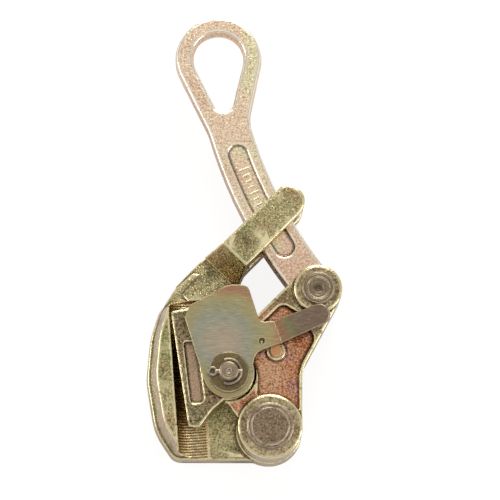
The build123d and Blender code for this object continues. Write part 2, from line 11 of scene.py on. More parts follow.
import bpy
from mathutils import Matrix, Vector
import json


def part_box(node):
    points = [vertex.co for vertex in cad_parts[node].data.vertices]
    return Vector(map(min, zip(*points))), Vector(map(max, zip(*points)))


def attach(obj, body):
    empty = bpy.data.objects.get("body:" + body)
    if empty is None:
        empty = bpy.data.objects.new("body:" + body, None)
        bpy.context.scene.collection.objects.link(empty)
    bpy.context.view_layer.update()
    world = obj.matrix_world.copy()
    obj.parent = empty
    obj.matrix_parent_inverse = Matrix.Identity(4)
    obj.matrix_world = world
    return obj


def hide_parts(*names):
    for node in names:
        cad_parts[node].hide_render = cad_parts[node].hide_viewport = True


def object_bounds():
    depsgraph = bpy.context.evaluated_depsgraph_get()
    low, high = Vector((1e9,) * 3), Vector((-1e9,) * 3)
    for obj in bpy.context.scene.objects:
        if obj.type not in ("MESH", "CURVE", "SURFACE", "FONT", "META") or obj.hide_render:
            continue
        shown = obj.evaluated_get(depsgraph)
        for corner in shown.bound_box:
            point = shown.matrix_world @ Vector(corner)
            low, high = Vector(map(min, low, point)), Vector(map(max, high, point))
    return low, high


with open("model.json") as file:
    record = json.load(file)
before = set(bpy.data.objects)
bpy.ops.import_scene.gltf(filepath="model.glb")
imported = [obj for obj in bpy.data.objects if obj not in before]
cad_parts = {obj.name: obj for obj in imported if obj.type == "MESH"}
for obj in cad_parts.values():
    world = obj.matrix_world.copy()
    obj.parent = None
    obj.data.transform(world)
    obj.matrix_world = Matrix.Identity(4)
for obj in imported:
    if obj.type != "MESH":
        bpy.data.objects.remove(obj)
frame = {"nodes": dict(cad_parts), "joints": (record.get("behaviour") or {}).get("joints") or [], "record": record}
cad_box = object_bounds()
MM = 0.001
joints = {joint["name"]: joint for joint in frame["joints"]}
TEETH_REACH = 0.0145
MAIN_PIVOT = Vector(joints["rocker_pivot"]["pos_m"])
HANDLE_PIVOT = Vector(joints["handle_pivot"]["pos_m"])
JAW_PIVOT = Vector(joints["jaw_pivot"]["pos_m"])
rope = next(mount for mount in frame["record"]["mounts"] if mount["name"] == "rope_channel")
ROPE_POINT = Vector(rope["pos_m"])
ROPE_WAY = Vector(rope["axis"]).normalized()

# %% [markdown]
# ## Floor, light and camera
# Plated steel has little colour of its own: it shows what stands round it. On a white table
# every wall of the part would turn white and melt into the ground. So the floor looks nearly
# white when seen directly, but bounces less light into the metal, as a white card far below
# does. The world is bright overhead and at the horizon, with a dark belt between them: a
# rounded edge then shows a dark line and a bright rim. A large soft lamp beyond the eye draws
# the gleams.

# %% A plain pale floor
FLOOR_SIZE = 3.0
floor_mesh = bpy.data.meshes.new("floor")
half = FLOOR_SIZE / 2
floor_z = cad_box[0][2] - 0.0002
floor_mesh.from_pydata(
    [(-half, -half, floor_z), (half, -half, floor_z), (half, half, floor_z), (-half, half, floor_z)],
    [],
    [(0, 1, 2, 3)],
)
floor = bpy.data.objects.new("floor", floor_mesh)
bpy.context.collection.objects.link(floor)
floor_finish = bpy.data.materials.new("pale_floor")
floor_finish.use_nodes = True
floor_shader = floor_finish.node_tree.nodes["Principled BSDF"]
floor_shader.inputs["Base Color"].default_value = (0.80, 0.78, 0.76, 1)
floor_shader.inputs["Roughness"].default_value = 0.9
floor_tree = floor_finish.node_tree
paper_white = floor_tree.nodes.new("ShaderNodeEmission")
paper_white.inputs["Strength"].default_value = 1.12
direct_look = floor_tree.nodes.new("ShaderNodeLightPath")
whiteness = floor_tree.nodes.new("ShaderNodeMath")
whiteness.operation = "MULTIPLY"
whiteness.inputs[1].default_value = 0.78
floor_mix = floor_tree.nodes.new("ShaderNodeMixShader")
floor_out = floor_tree.nodes["Material Output"]
floor_tree.links.new(direct_look.outputs["Is Camera Ray"], whiteness.inputs[0])
floor_tree.links.new(whiteness.outputs[0], floor_mix.inputs["Fac"])
floor_tree.links.new(floor_shader.outputs[0], floor_mix.inputs[1])
floor_tree.links.new(paper_white.outputs[0], floor_mix.inputs[2])
floor_tree.links.new(floor_mix.outputs[0], floor_out.inputs["Surface"])
floor_mesh.materials.append(floor_finish)
print("floor at z =", round(floor_z, 4))

# %% World and lamps
scene = bpy.context.scene
world = bpy.data.worlds.new("white_tent")
scene.world = world
world.use_nodes = True
sky = world.node_tree
sky.nodes.clear()
sky_place = sky.nodes.new("ShaderNodeTexCoord")
sky_split = sky.nodes.new("ShaderNodeSeparateXYZ")
sky_ramp = sky.nodes.new("ShaderNodeValToRGB")
sky_light = sky.nodes.new("ShaderNodeBackground")
sky_out = sky.nodes.new("ShaderNodeOutputWorld")
sky_ramp.color_ramp.elements[0].position = 0.0
sky_ramp.color_ramp.elements[0].color = (1.0, 0.98, 0.96, 1)
sky_ramp.color_ramp.elements[1].position = 1.0
sky_ramp.color_ramp.elements[1].color = (0.76, 0.75, 0.74, 1)
middle_tone = sky_ramp.color_ramp.elements.new(0.62)
middle_tone.color = (0.30, 0.30, 0.30, 1)
sky_light.inputs["Strength"].default_value = 1.15
sky.links.new(sky_place.outputs["Generated"], sky_split.inputs[0])
sky.links.new(sky_split.outputs["Z"], sky_ramp.inputs["Fac"])
sky.links.new(sky_ramp.outputs["Color"], sky_light.inputs["Color"])
sky.links.new(sky_light.outputs[0], sky_out.inputs["Surface"])


def soft_lamp(name, place, target, size, power, tint=(1, 1, 1)):
    """A square soft box that looks at a target."""
    lamp = bpy.data.lights.new(name, "AREA")
    lamp.size = size
    lamp.energy = power
    lamp.color = tint
    holder = bpy.data.objects.new(name, lamp)
    holder.location = place
    holder.rotation_euler = (Vector(target) - Vector(place)).to_track_quat("-Z", "Y").to_euler()
    bpy.context.collection.objects.link(holder)
    return holder


middle = Vector([(low + high) / 2 for low, high in zip(*cad_box)])
soft_lamp("key_box", middle + Vector((0.10, 1.05, 0.60)), middle, 0.8, 10, (1.0, 0.98, 0.95))
soft_lamp("left_strip", middle + Vector((-0.95, 0.0, 0.35)), middle, 0.45, 2.6)
soft_lamp("right_fill", middle + Vector((0.85, -0.35, 0.55)), middle, 0.45, 2.4)

# %% The camera looks down, a little from below the near end
TILT = math.radians(10.5)
SIDE = math.radians(1.5)
DISTANCE = 1.8
FIELD = 0.325
SENSOR = 36.0
look_at = Vector((-0.0125, 0.1169, 0.026))
direction = Vector((-math.sin(SIDE), -math.sin(TILT), math.cos(TILT))).normalized()
camera_data = bpy.data.cameras.new("camera")
camera_data.sensor_width = SENSOR
camera_data.lens = SENSOR * DISTANCE / FIELD
camera = bpy.data.objects.new("camera", camera_data)
camera.location = look_at + direction * DISTANCE
up = (Vector((0, 1, 0)) - direction * direction.y).normalized()
camera.rotation_euler = Matrix((up.cross(direction), up, direction)).transposed().to_euler()
bpy.context.collection.objects.link(camera)
scene.camera = camera
scene.view_settings.view_transform = "Standard"
print("lens:", round(camera_data.lens, 1), "mm")

# %% [markdown]
# ## Shader groups that several finishes share
# Four effects come back on most parts, so each is built once as a node group. Tints are the
# rainbow patches of chromate plating, made by slow noise. Grain is the fine orange peel of a
# forged skin. The edge group finds the edges with the Bevel node, which also works on loose
# triangles; the pale colour put there is partly rubbed plating and partly a painted highlight.
# Rings are the turning marks round a pin. Groups give only colours, masks and heights.

# %% Helpers for node groups


def new_group(name, inputs, outputs):
    """A shader node group with named sockets. A size-like socket is a float."""
    group = bpy.data.node_groups.new(name, "ShaderNodeTree")
    for label, kind, value in inputs:
        socket = group.interface.new_socket(label, in_out="INPUT", socket_type=kind)
        socket.default_value = value
    for label, kind in outputs:
        group.interface.new_socket(label, in_out="OUTPUT", socket_type=kind)
    entry = group.nodes.new("NodeGroupInput")
    leave = group.nodes.new("NodeGroupOutput")
    return group, entry, leave


def add(tree, kind, links=None, **settings):
    """Adds a node, sets its properties and joins or fills its inputs."""
    node = tree.nodes.new(kind)
    for label, value in settings.items():
        setattr(node, label, value)
    for label, value in (links or {}).items():
        if isinstance(value, bpy.types.NodeSocket):
            tree.links.new(value, node.inputs[label])
        else:
            node.inputs[label].default_value = value
    return node


def blend_colours(tree, amount, first, second):
    node = add(tree, "ShaderNodeMix", data_type="RGBA", blend_type="MIX")
    for socket, value in ((0, amount), (6, first), (7, second)):
        if isinstance(value, bpy.types.NodeSocket):
            tree.links.new(value, node.inputs[socket])
        else:
            node.inputs[socket].default_value = value
    return node.outputs[2]


def step_between(tree, value, low, high):
    """A soft step: 0 under low and 1 over high."""
    node = add(tree, "ShaderNodeMapRange", {"From Min": low, "From Max": high}, clamp=True)
    node.interpolation_type = "SMOOTHSTEP"
    tree.links.new(value, node.inputs["Value"])
    return node.outputs["Result"]


# %% Plating tints
COLOUR = "NodeSocketColor"
NUMBER = "NodeSocketFloat"
ARROW = "NodeSocketVector"

tints_group, entry, leave = new_group(
    "plating_tints",
    [("Place", ARROW, (0, 0, 0)), ("Patch Scale", NUMBER, 22.0), ("Base", COLOUR, (1, 1, 1, 1)),
     ("Second", COLOUR, (1, 1, 1, 1)), ("Third", COLOUR, (1, 1, 1, 1)), ("Speck", COLOUR, (1, 1, 1, 1)),
     ("Speck Amount", NUMBER, 0.5), ("Mottle", NUMBER, 0.35)],
    [("Colour", COLOUR)],
)
patches = add(tints_group, "ShaderNodeTexNoise", {
    "Vector": entry.outputs["Place"], "Scale": entry.outputs["Patch Scale"], "Detail": 3.0,
    "Distortion": 0.6})
other_place = add(tints_group, "ShaderNodeVectorMath", {0: entry.outputs["Place"], 1: (3.1, -1.7, 0.9)},
                  operation="ADD")
other_patches = add(tints_group, "ShaderNodeTexNoise", {
    "Vector": other_place.outputs[0], "Scale": entry.outputs["Patch Scale"], "Detail": 2.0,
    "Distortion": 1.0})
specks = add(tints_group, "ShaderNodeTexNoise", {"Vector": entry.outputs["Place"], "Scale": 1500.0,
                                                 "Detail": 3.0, "Roughness": 0.7})
speck_mask = add(tints_group, "ShaderNodeMath", {
    0: step_between(tints_group, specks.outputs["Fac"], 0.50, 0.72), 1: entry.outputs["Speck Amount"]},
    operation="MULTIPLY")
tone = blend_colours(tints_group, step_between(tints_group, patches.outputs["Fac"], 0.42, 0.60),
                     entry.outputs["Base"], entry.outputs["Second"])
tone = blend_colours(tints_group, step_between(tints_group, other_patches.outputs["Fac"], 0.50, 0.68),
                     tone, entry.outputs["Third"])
tone = blend_colours(tints_group, speck_mask.outputs[0], tone, entry.outputs["Speck"])
blotches = add(tints_group, "ShaderNodeTexNoise", {"Vector": entry.outputs["Place"], "Scale": 680.0,
                                                   "Detail": 4.0, "Roughness": 0.75})
contrast = add(tints_group, "ShaderNodeMapRange", {
    "Value": blotches.outputs["Fac"], "From Min": 0.34, "From Max": 0.66, "To Min": -1.0, "To Max": 1.0})
gain = add(tints_group, "ShaderNodeMath", {
    0: contrast.outputs["Result"], 1: entry.outputs["Mottle"], 2: 1.0}, operation="MULTIPLY_ADD")
mottled = add(tints_group, "ShaderNodeVectorMath", {0: tone, "Scale": gain.outputs[0]}, operation="SCALE")
tints_group.links.new(mottled.outputs[0], leave.inputs["Colour"])
print("group:", tints_group.name)

# %% Forged grain
grain_group, entry, leave = new_group(
    "forged_grain",
    [("Place", ARROW, (0, 0, 0)), ("Fineness", NUMBER, 700.0), ("Pit Depth", NUMBER, 0.5)],
    [("Height", NUMBER), ("Roughness Shift", NUMBER)],
)
peel = add(grain_group, "ShaderNodeTexNoise", {
    "Vector": entry.outputs["Place"], "Scale": entry.outputs["Fineness"], "Detail": 4.0,
    "Roughness": 0.6})
pits = add(grain_group, "ShaderNodeTexVoronoi", {
    "Vector": entry.outputs["Place"], "Scale": 820.0}, feature="SMOOTH_F1")
pit_walls = step_between(grain_group, pits.outputs["Distance"], 0.10, 0.42)
pit_height = add(grain_group, "ShaderNodeMath", {0: pit_walls, 1: entry.outputs["Pit Depth"]},
                 operation="MULTIPLY")
height = add(grain_group, "ShaderNodeMath", {0: peel.outputs["Fac"], 1: pit_height.outputs[0]},
             operation="ADD")
shift = add(grain_group, "ShaderNodeMath", {0: peel.outputs["Fac"], 1: 0.5}, operation="SUBTRACT")
grain_group.links.new(height.outputs[0], leave.inputs["Height"])
grain_group.links.new(shift.outputs[0], leave.inputs["Roughness Shift"])
print("group:", grain_group.name)

# %% Rubbed edges and painted edge highlight
wear_and_glint_group, entry, leave = new_group(
    "edge_wear_and_glint",
    [("Place", ARROW, (0, 0, 0)), ("Edge Low", NUMBER, 0.004), ("Edge High", NUMBER, 0.05)],
    [("Wear And Glint", NUMBER)],
)
round_normal = add(wear_and_glint_group, "ShaderNodeBevel", {"Radius": 0.0009}, samples=6)
surface = add(wear_and_glint_group, "ShaderNodeNewGeometry")
agreement = add(wear_and_glint_group, "ShaderNodeVectorMath", {
    0: round_normal.outputs["Normal"], 1: surface.outputs["Normal"]}, operation="DOT_PRODUCT")
turned = add(wear_and_glint_group, "ShaderNodeMath", {0: 1.0, 1: agreement.outputs["Value"]}, operation="SUBTRACT")
edge = add(wear_and_glint_group, "ShaderNodeMapRange", {
    "Value": turned.outputs[0], "From Min": entry.outputs["Edge Low"],
    "From Max": entry.outputs["Edge High"]}, clamp=True)
chips = add(wear_and_glint_group, "ShaderNodeTexNoise", {
    "Vector": entry.outputs["Place"], "Scale": 160.0, "Detail": 4.0})
uneven = add(wear_and_glint_group, "ShaderNodeMath", {
    0: edge.outputs["Result"], 1: step_between(wear_and_glint_group, chips.outputs["Fac"], 0.25, 0.60)},
    operation="MULTIPLY")
wear_and_glint_group.links.new(uneven.outputs[0], leave.inputs["Wear And Glint"])
print("group:", wear_and_glint_group.name)

# %% Turning rings
rings_group, entry, leave = new_group(
    "turning_rings",
    [("Place", ARROW, (0, 0, 0)), ("Centre", ARROW, (0, 0, 0)), ("Pitch", NUMBER, 0.0008)],
    [("Height", NUMBER), ("Radius", NUMBER)],
)
away = add(rings_group, "ShaderNodeVectorMath", {
    0: entry.outputs["Place"], 1: entry.outputs["Centre"]}, operation="SUBTRACT")
flat_away = add(rings_group, "ShaderNodeVectorMath", {0: away.outputs[0], 1: (1, 1, 0)},
                operation="MULTIPLY")
reach = add(rings_group, "ShaderNodeVectorMath", {0: flat_away.outputs[0]}, operation="LENGTH")
turns = add(rings_group, "ShaderNodeMath", {
    0: reach.outputs["Value"], 1: entry.outputs["Pitch"]}, operation="DIVIDE")
wobble = add(rings_group, "ShaderNodeTexNoise", {
    "Vector": entry.outputs["Place"], "Scale": 120.0, "Detail": 2.0})
wobbly = add(rings_group, "ShaderNodeMath", {0: wobble.outputs["Fac"], 1: 0.5, 2: turns.outputs[0]},
             operation="MULTIPLY_ADD")
full_turn = add(rings_group, "ShaderNodeMath", {0: wobbly.outputs[0], 1: math.tau}, operation="MULTIPLY")
wave = add(rings_group, "ShaderNodeMath", {0: full_turn.outputs[0]}, operation="SINE")
rings_group.links.new(wave.outputs[0], leave.inputs["Height"])
rings_group.links.new(reach.outputs["Value"], leave.inputs["Radius"])
print("group:", rings_group.name)

# %% [markdown]
# ## Finishes
# Each finish is a Principled metal. Its own tints, grain and edge colour come from the groups,
# and every part sets its own values. The pale edge colour is partly rubbed plating and partly a
# painted highlight; on the forgings the steep sides get a painted reflection of the floor and
# the hollows a painted shade. The gloss values that are the same all over a part are set on the
# shader's own sockets.

# %% A builder for plated finishes


def use_group(tree, group, links):
    node = tree.nodes.new("ShaderNodeGroup")
    node.node_tree = group
    for label, value in links.items():
        if isinstance(value, bpy.types.NodeSocket):
            tree.links.new(value, node.inputs[label])
        else:
            node.inputs[label].default_value = value
    return node


def rgb(red, green, blue):
    """A colour as a maker reads it off a swatch (0 to 255), turned to linear light."""
    linear = [((c / 255 + 0.055) / 1.055) ** 2.4 if c > 10 else c / 3295 for c in (red, green, blue)]
    return tuple(linear) + (1,)


# Pale pink painted on the steep drafted sides of the forgings: a painted reflection of the pale floor.
WALL_REFLECTION_TONE = rgb(222, 198, 178)


def new_finish(name):
    finish = bpy.data.materials.new(name)
    finish.use_nodes = True
    tree = finish.node_tree
    shader = tree.nodes["Principled BSDF"]
    shader.inputs["Metallic"].default_value = 1.0
    place = tree.nodes.new("ShaderNodeTexCoord").outputs["Object"]
    return finish, tree, shader, place


def plated(name, base, second, third, speck, speck_amount=0.5, patch_scale=22.0, roughness=0.36,
           grain=0.35, fineness=700.0, pits=0.5, wear_and_glint_tone=rgb(236, 224, 178), mottle=0.35, extra=None,
           forged=True):
    """Yellow zinc plating over a forged or pressed steel skin."""
    finish, tree, shader, place = new_finish(name)
    tints = use_group(tree, tints_group, {
        "Place": place, "Patch Scale": patch_scale, "Base": base, "Second": second, "Third": third,
        "Speck": speck, "Speck Amount": speck_amount, "Mottle": mottle})
    skin = use_group(tree, grain_group, {"Place": place, "Fineness": fineness, "Pit Depth": pits})
    colour = tints.outputs["Colour"]
    if extra:
        colour = extra(tree, place, colour)
    if forged:
        up = add(tree, "ShaderNodeSeparateXYZ", {0: tree.nodes.new("ShaderNodeTexCoord").outputs["Normal"]})
        # Faces that turn sideways get the pale pink: a painted reflection of the floor on the drafted sides.
        wall_reflection = add(tree, "ShaderNodeMath", {0: step_between(tree, up.outputs["Z"], 0.42, 0.12), 1: 0.6},
                   operation="MULTIPLY")
        colour = blend_colours(tree, wall_reflection.outputs[0], colour, WALL_REFLECTION_TONE)
        # Crest marks the edges: there the pale edge colour goes on, partly rubbed plating and partly a painted
        # highlight.
        crest = add(tree, "ShaderNodeAttribute", attribute_name="crest")
        chips = add(tree, "ShaderNodeTexNoise", {"Vector": place, "Scale": 260.0, "Detail": 4.0})
        ridge = step_between(tree, crest.outputs["Fac"], 0.12, 0.60)
        rubbed = add(tree, "ShaderNodeMath", {
            0: ridge, 1: step_between(tree, chips.outputs["Fac"], 0.20, 0.50)}, operation="MULTIPLY")
        wear_and_glint = rubbed.outputs[0]
        # Hollows and creases are painted dark brown: painted shade where the forging turns inward.
        hollow = step_between(tree, crest.outputs["Fac"], -0.06, -0.60)
        deep = add(tree, "ShaderNodeMath", {0: hollow, 1: 0.62}, operation="MULTIPLY")
        colour = blend_colours(tree, deep.outputs[0], colour, rgb(58, 46, 32))
    else:
        wear_and_glint = use_group(tree, wear_and_glint_group, {"Place": place}).outputs["Wear And Glint"]
    # Pale edge colour: partly rubbed plating, partly a painted highlight.
    colour = blend_colours(tree, wear_and_glint, colour, wear_and_glint_tone)
    tree.links.new(colour, shader.inputs["Base Color"])
    rough = add(tree, "ShaderNodeMath", {0: skin.outputs["Roughness Shift"], 1: 0.35, 2: roughness},
                operation="MULTIPLY_ADD")
    polished = add(tree, "ShaderNodeMath", {0: wear_and_glint, 1: -0.06, 2: rough.outputs[0]},
                   operation="MULTIPLY_ADD")
    tree.links.new(polished.outputs[0], shader.inputs["Roughness"])
    left_over = add(tree, "ShaderNodeMath", {0: wear_and_glint, 1: -0.8, 2: 1.0}, operation="MULTIPLY_ADD")
    relief = add(tree, "ShaderNodeMath", {0: skin.outputs["Height"], 1: left_over.outputs[0]},
                 operation="MULTIPLY")
    bump = add(tree, "ShaderNodeBump", {"Strength": grain, "Distance": 0.0003,
                                        "Height": relief.outputs[0]})
    tree.links.new(bump.outputs["Normal"], shader.inputs["Normal"])
    return finish


# %% The forged parts' finishes


def teeth_painted_highlight(tree, place, colour):
    """The gripping teeth are painted a bright gold: a painted highlight for the light the glossy teeth catch."""
    offset = add(tree, "ShaderNodeVectorMath", {0: place, 1: tuple(ROPE_POINT)}, operation="SUBTRACT")
    across = add(tree, "ShaderNodeVectorMath", {0: offset.outputs[0], 1: tuple(ROPE_WAY)},
                 operation="CROSS_PRODUCT")
    reach = add(tree, "ShaderNodeVectorMath", {0: across.outputs[0]}, operation="LENGTH")
    near = step_between(tree, reach.outputs["Value"], 0.0142, 0.0134)
    along = add(tree, "ShaderNodeVectorMath", {0: offset.outputs[0], 1: tuple(ROPE_WAY)},
                operation="DOT_PRODUCT")
    before_arm = step_between(tree, along.outputs["Value"], -0.0872, -0.0856)
    cut = add(tree, "ShaderNodeMath", {0: near, 1: before_arm}, operation="MULTIPLY")
    # Bright gold painted over the teeth and groove: a painted highlight.
    return blend_colours(tree, cut.outputs[0], colour, rgb(232, 200, 150))


ROCKER_POCKET_Z = 36.0 * MM
ROCKER_RIM_Z = 39.4 * MM
JAW_POCKET_Z = 35.4 * MM
JAW_RIM_Z = 38.0 * MM


def pocket_masks(tree, place, floor_z, rim_z):
    """Two masks: 1 at the height of floor_z and 0 at rim_z, and 1 on faces that look up."""
    up = add(tree, "ShaderNodeSeparateXYZ", {0: tree.nodes.new("ShaderNodeTexCoord").outputs["Normal"]})
    height = add(tree, "ShaderNodeSeparateXYZ", {0: place})
    deep = step_between(tree, height.outputs["Z"], rim_z, floor_z)
    upward = step_between(tree, up.outputs["Z"], 0.1, 0.7)
    return deep, upward


def rocker_film(tree, place, colour):
    """A thick orange and pink film in the rocker's pocket and on its left shoulder."""
    deep, upward = pocket_masks(tree, place, ROCKER_POCKET_Z, ROCKER_RIM_Z)
    across = add(tree, "ShaderNodeSeparateXYZ", {0: place})
    left = step_between(tree, across.outputs["X"], 0.004, -0.008)
    clear = add(tree, "ShaderNodeVectorMath", {0: place, 1: (1, 1, 0)}, operation="MULTIPLY")
    reach = add(tree, "ShaderNodeVectorMath", {0: clear.outputs[0]}, operation="LENGTH")
    off_boss = step_between(tree, reach.outputs["Value"], 0.0205, 0.0225)
    shoulder = add(tree, "ShaderNodeMath", {0: left, 1: off_boss}, operation="MULTIPLY")
    covered = add(tree, "ShaderNodeMath", {0: deep, 1: shoulder.outputs[0]}, operation="MAXIMUM")
    mask = add(tree, "ShaderNodeMath", {0: covered.outputs[0], 1: upward}, operation="MULTIPLY")
    cloud = add(tree, "ShaderNodeTexNoise", {"Vector": place, "Scale": 48.0, "Detail": 3.0})
    warm = blend_colours(tree, step_between(tree, cloud.outputs["Fac"], 0.38, 0.50),
                         rgb(168, 92, 58), rgb(186, 126, 90))
    warm = blend_colours(tree, step_between(tree, cloud.outputs["Fac"], 0.52, 0.66), warm, rgb(176, 126, 114))
    rubbed = add(tree, "ShaderNodeVectorMath", {0: place, 1: tuple(MAIN_PIVOT + Vector((0, 0.033, 0.01)))},
                 operation="DISTANCE")
    ragged = add(tree, "ShaderNodeMath", {0: cloud.outputs["Fac"], 1: 0.012, 2: rubbed.outputs["Value"]},
                 operation="MULTIPLY_ADD")
    warm = blend_colours(tree, step_between(tree, ragged.outputs[0], 0.021, 0.012), warm, rgb(198, 154, 120))
    fine = add(tree, "ShaderNodeTexNoise", {"Vector": place, "Scale": 700.0, "Detail": 4.0,
                                            "Roughness": 0.75})
    warm = blend_colours(tree, step_between(tree, fine.outputs["Fac"], 0.50, 0.62), warm, rgb(232, 186, 144))
    warm = blend_colours(tree, step_between(tree, fine.outputs["Fac"], 0.48, 0.36), warm, rgb(104, 52, 38))
    return blend_colours(tree, mask.outputs[0], colour, warm)


def jaw_film(tree, place, colour):
    """A thin pink film in the moving jaw's pocket."""
    deep, upward = pocket_masks(tree, place, JAW_POCKET_Z, JAW_RIM_Z)
    mask = add(tree, "ShaderNodeMath", {0: deep, 1: upward}, operation="MULTIPLY")
    half = add(tree, "ShaderNodeMath", {0: mask.outputs[0], 1: 0.55}, operation="MULTIPLY")
    return blend_colours(tree, half.outputs[0], colour, rgb(206, 172, 146))


body_finish = plated("forged_body_plating", rgb(172, 160, 116), rgb(142, 138, 90), rgb(160, 132, 98),
                     rgb(226, 216, 176), 0.7, 20.0, 0.27, 0.6, 760.0, 0.6, mottle=0.78, extra=teeth_painted_highlight)
handle_finish = plated("pulling_bar_plating", rgb(238, 208, 178), rgb(222, 186, 158), rgb(228, 220, 176),
                       rgb(250, 238, 214), 0.5, 16.0, 0.26, 0.5, 700.0, 0.4, rgb(252, 242, 222), 0.52)
tick_finish = plated("raised_tick_plating", rgb(240, 216, 182), rgb(222, 190, 160), rgb(228, 220, 178),
                     rgb(250, 238, 214), 0.4, 16.0, 0.26, 0.2, 700.0, 0.3, rgb(252, 242, 220), 0.2,
                     forged=False)
jaw_finish = plated("moving_jaw_plating", rgb(134, 122, 90), rgb(102, 96, 64), rgb(132, 108, 80),
                    rgb(214, 200, 164), 0.8, 40.0, 0.28, 0.65, 760.0, 0.7, mottle=0.9, extra=jaw_film)
rocker_finish = plated("rocker_plating", rgb(172, 154, 120), rgb(132, 110, 80), rgb(156, 140, 98),
                       rgb(218, 204, 164), 0.7, 34.0, 0.27, 0.6, 760.0, 0.5, mottle=0.8, extra=rocker_film)
print("forged finishes ready")

# %% The gate plate's rainbow film


def gate_film(tree, place, colour):
    """Grey-blue in the middle, then olive, gold and red bands towards the free edges."""
    heart = Vector((JAW_PIVOT.x - 0.002, JAW_PIVOT.y + 0.019, 0.0415))
    away = add(tree, "ShaderNodeVectorMath", {0: place, 1: tuple(heart)}, operation="SUBTRACT")
    bend = add(tree, "ShaderNodeTexNoise", {"Vector": place, "Scale": 30.0, "Detail": 2.0})
    reach = add(tree, "ShaderNodeVectorMath", {0: away.outputs[0]}, operation="LENGTH")
    uneven = add(tree, "ShaderNodeMath", {0: bend.outputs["Fac"], 1: 0.022, 2: reach.outputs["Value"]},
                 operation="MULTIPLY_ADD")
    span = add(tree, "ShaderNodeMapRange", {"Value": uneven.outputs[0], "From Min": 0.012, "From Max": 0.058},
               clamp=True)
    ramp = add(tree, "ShaderNodeValToRGB", {"Fac": span.outputs["Result"]})
    bands = ((0.0, rgb(188, 168, 146)), (0.22, rgb(176, 164, 144)), (0.36, rgb(158, 160, 144)),
             (0.50, rgb(164, 158, 118)), (0.64, rgb(178, 160, 108)), (0.78, rgb(176, 112, 84)),
             (0.88, rgb(140, 134, 92)), (1.0, rgb(136, 106, 92)))
    ramp.color_ramp.elements[0].color = bands[0][1]
    ramp.color_ramp.elements[-1].color = bands[-1][1]
    for position, tone in bands[1:-1]:
        ramp.color_ramp.elements.new(position).color = tone
    combed = add(tree, "ShaderNodeMapping", {"Vector": place, "Rotation": (0, 0, 0.5),
                                             "Scale": (180, 3600, 180)})
    scratches = add(tree, "ShaderNodeTexNoise", {"Vector": combed.outputs[0], "Scale": 1.0, "Detail": 4.0,
                                                 "Roughness": 0.7})
    film = blend_colours(tree, 0.78, colour, ramp.outputs["Color"])
    film = blend_colours(tree, step_between(tree, scratches.outputs["Fac"], 0.52, 0.76), film,
                         rgb(214, 204, 180))
    return blend_colours(tree, step_between(tree, scratches.outputs["Fac"], 0.48, 0.24), film,
                         rgb(112, 98, 76))


gate_finish = plated("gate_plate_film", rgb(150, 148, 116), rgb(160, 150, 120), rgb(142, 152, 128),
                     rgb(200, 186, 150), 0.3, 36.0, 0.30, 0.25, 900.0, 0.15, rgb(240, 222, 180), 0.16,
                     extra=gate_film, forged=False)
print("gate finish ready")

# %% Turned pins and washers


def turned_finish(name, centre, base, second, roughness, pitch, ring_strength, hollow=0.0):
    """Bare or thinly plated steel with turning or peening rings round its own axis."""
    finish, tree, shader, place = new_finish(name)
    rings = use_group(tree, rings_group, {"Place": place, "Centre": tuple(centre), "Pitch": pitch})
    pin_wear_and_glint = use_group(tree, wear_and_glint_group, {"Place": place})
    cloud = add(tree, "ShaderNodeTexNoise", {"Vector": place, "Scale": 800.0, "Detail": 6.0,
                                             "Roughness": 0.8})
    colour = blend_colours(tree, step_between(tree, cloud.outputs["Fac"], 0.38, 0.62), base, second)
    # Inside a hollow pin end the colour is darkened: painted shade in the recess.
    inner = step_between(tree, rings.outputs["Radius"], hollow, hollow * 0.55)
    if hollow:
        darker = tuple(c * 0.72 for c in base[:3]) + (1,)
        colour = blend_colours(tree, inner, colour, darker)
    # Pale edge colour on the pins: partly rubbed steel, partly a painted highlight.
    colour = blend_colours(tree, pin_wear_and_glint.outputs["Wear And Glint"], colour, rgb(228, 214, 190))
    tree.links.new(colour, shader.inputs["Base Color"])
    rough = add(tree, "ShaderNodeMapRange", {"Value": cloud.outputs["Fac"], "From Min": 0.3, "From Max": 0.7,
                                             "To Min": roughness - 0.07, "To Max": roughness + 0.09})
    tree.links.new(rough.outputs["Result"], shader.inputs["Roughness"])
    mix = add(tree, "ShaderNodeMath", {0: cloud.outputs["Fac"], 1: 2.2, 2: rings.outputs["Height"]},
              operation="MULTIPLY_ADD")
    bump = add(tree, "ShaderNodeBump", {"Strength": ring_strength, "Distance": 0.0001,
                                        "Height": mix.outputs[0]})
    tree.links.new(bump.outputs["Normal"], shader.inputs["Normal"])
    return finish


main_pin_finish = turned_finish("main_pin_steel", MAIN_PIVOT, rgb(98, 80, 64), rgb(168, 146, 120),
                                0.42, 0.0026, 0.5)
handle_pin_finish = turned_finish("handle_pin_steel", HANDLE_PIVOT, rgb(112, 98, 76),
                                  rgb(146, 130, 104), 0.36, 0.0017, 0.8, 0.0045)
jaw_pin_finish = turned_finish("jaw_pin_steel", JAW_PIVOT, rgb(132, 114, 94), rgb(164, 148, 124),
                               0.34, 0.0012, 0.6)
washer_finish = turned_finish("washer_steel", JAW_PIVOT, rgb(108, 94, 64), rgb(134, 118, 84),
                              0.32, 0.0009, 0.4)
split_finish = turned_finish("split_pin_steel", JAW_PIVOT, rgb(132, 120, 104), rgb(168, 158, 140),
                             0.30, 0.004, 0.1)
stud_finish = turned_finish("stud_steel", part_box("gate_stop_stud")[0], rgb(196, 160, 110),
                            rgb(206, 140, 96), 0.34, 0.0011, 0.3)
ball_finish = turned_finish("ball_steel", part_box("detent_ball")[0], rgb(190, 190, 188),
                            rgb(206, 204, 200), 0.16, 0.004, 0.02)
